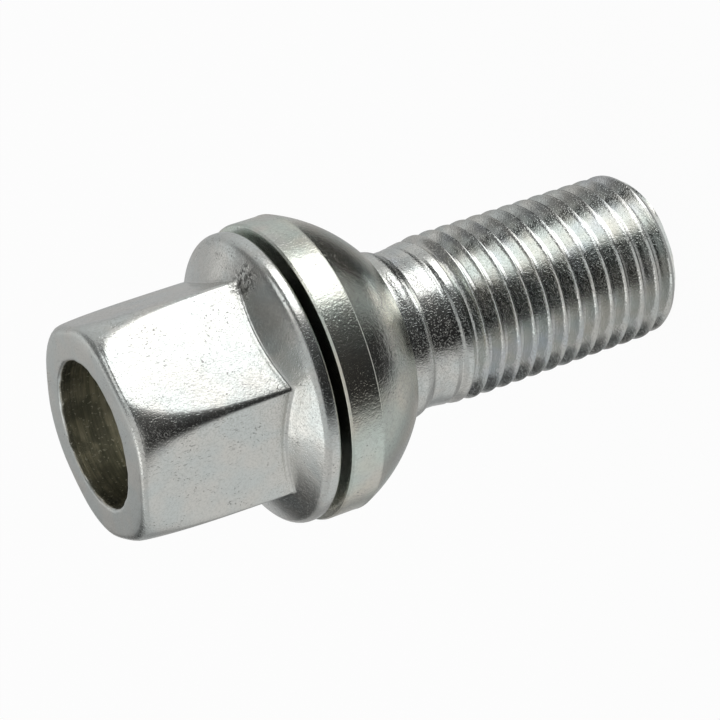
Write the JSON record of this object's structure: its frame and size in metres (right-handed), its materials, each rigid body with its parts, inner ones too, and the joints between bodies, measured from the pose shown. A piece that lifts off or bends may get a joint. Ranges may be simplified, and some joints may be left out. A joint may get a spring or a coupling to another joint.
{
  "type": "wheel bolt",
  "caption": "Hexagon-head wheel bolt with a recessed head, a flange, a metric thread and a loose ball-seat collar that turns on its shank.",
  "frame": {"origin": "centre of the thread's tip face, on the bolt's axis, where the bolt stands", "axes": "+Z along the bolt's axis from the tip to the head, +X through a corner of the hexagon"},
  "size_m": [0.0242, 0.0242, 0.05],
  "materials": {
    "forged_zinc": "zinc-plated forged steel, satin with a fine grain",
    "turned_zinc": "zinc-plated turned steel, smooth satin"
  },
  "bodies": {
    "bolt": {"bolt": "forged_zinc"},
    "collar": {"ball_seat_collar": "turned_zinc"}
  },
  "joints": [
    {"name": "collar_spin", "type": "hinge", "parent": "bolt", "child": "collar", "pos_m": [0, 0, 0.0308], "axis": [0, 0, 1], "continuous": true}
  ]
}
